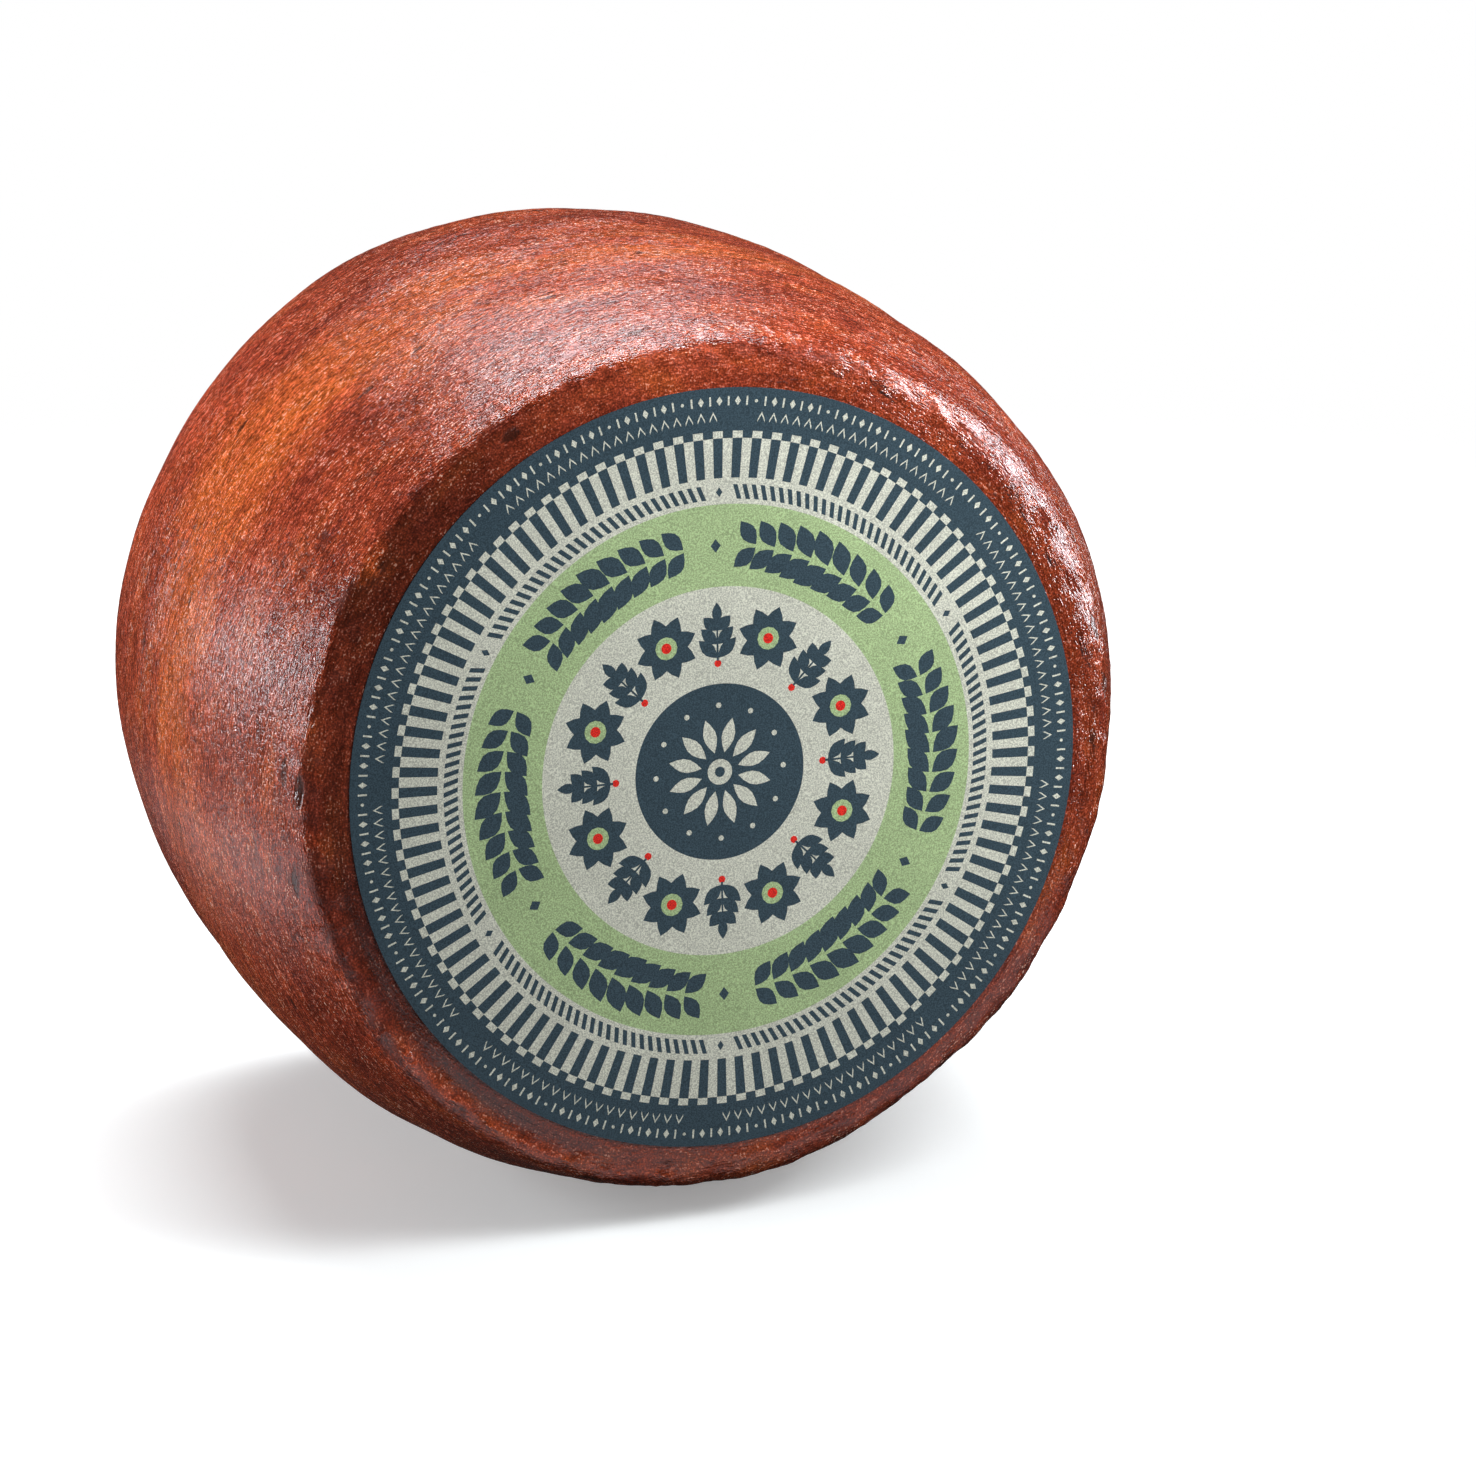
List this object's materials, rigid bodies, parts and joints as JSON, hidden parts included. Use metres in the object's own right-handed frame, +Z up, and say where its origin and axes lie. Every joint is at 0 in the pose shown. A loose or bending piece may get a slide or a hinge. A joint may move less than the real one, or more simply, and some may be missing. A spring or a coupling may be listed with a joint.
{
  "type": "wheel of semi-aged goat cheese",
  "caption": "Whole wheel of semi-aged goat cheese with a bulging glossy brown rind, rounded shoulders and a round paper label, standing on its rim.",
  "frame": {"origin": "middle of the underside of the bounding box, on the surface that the wheel rests on", "axes": "+Z up; the wheel's axis runs along Y and the labelled face looks towards -Y; +X to the right seen from the label"},
  "size_m": [0.183, 0.136, 0.1722],
  "materials": {
    "rind": "red-brown waxed cheese rind, satin to glossy, finely streaked and pitted, with a paler orange band round the side",
    "label_paper": "matte cream paper printed with dark blue and pale green rings"
  },
  "bodies": {
    "root": {"wheel": "rind", "label": "label_paper"}
  },
  "joints": []
}
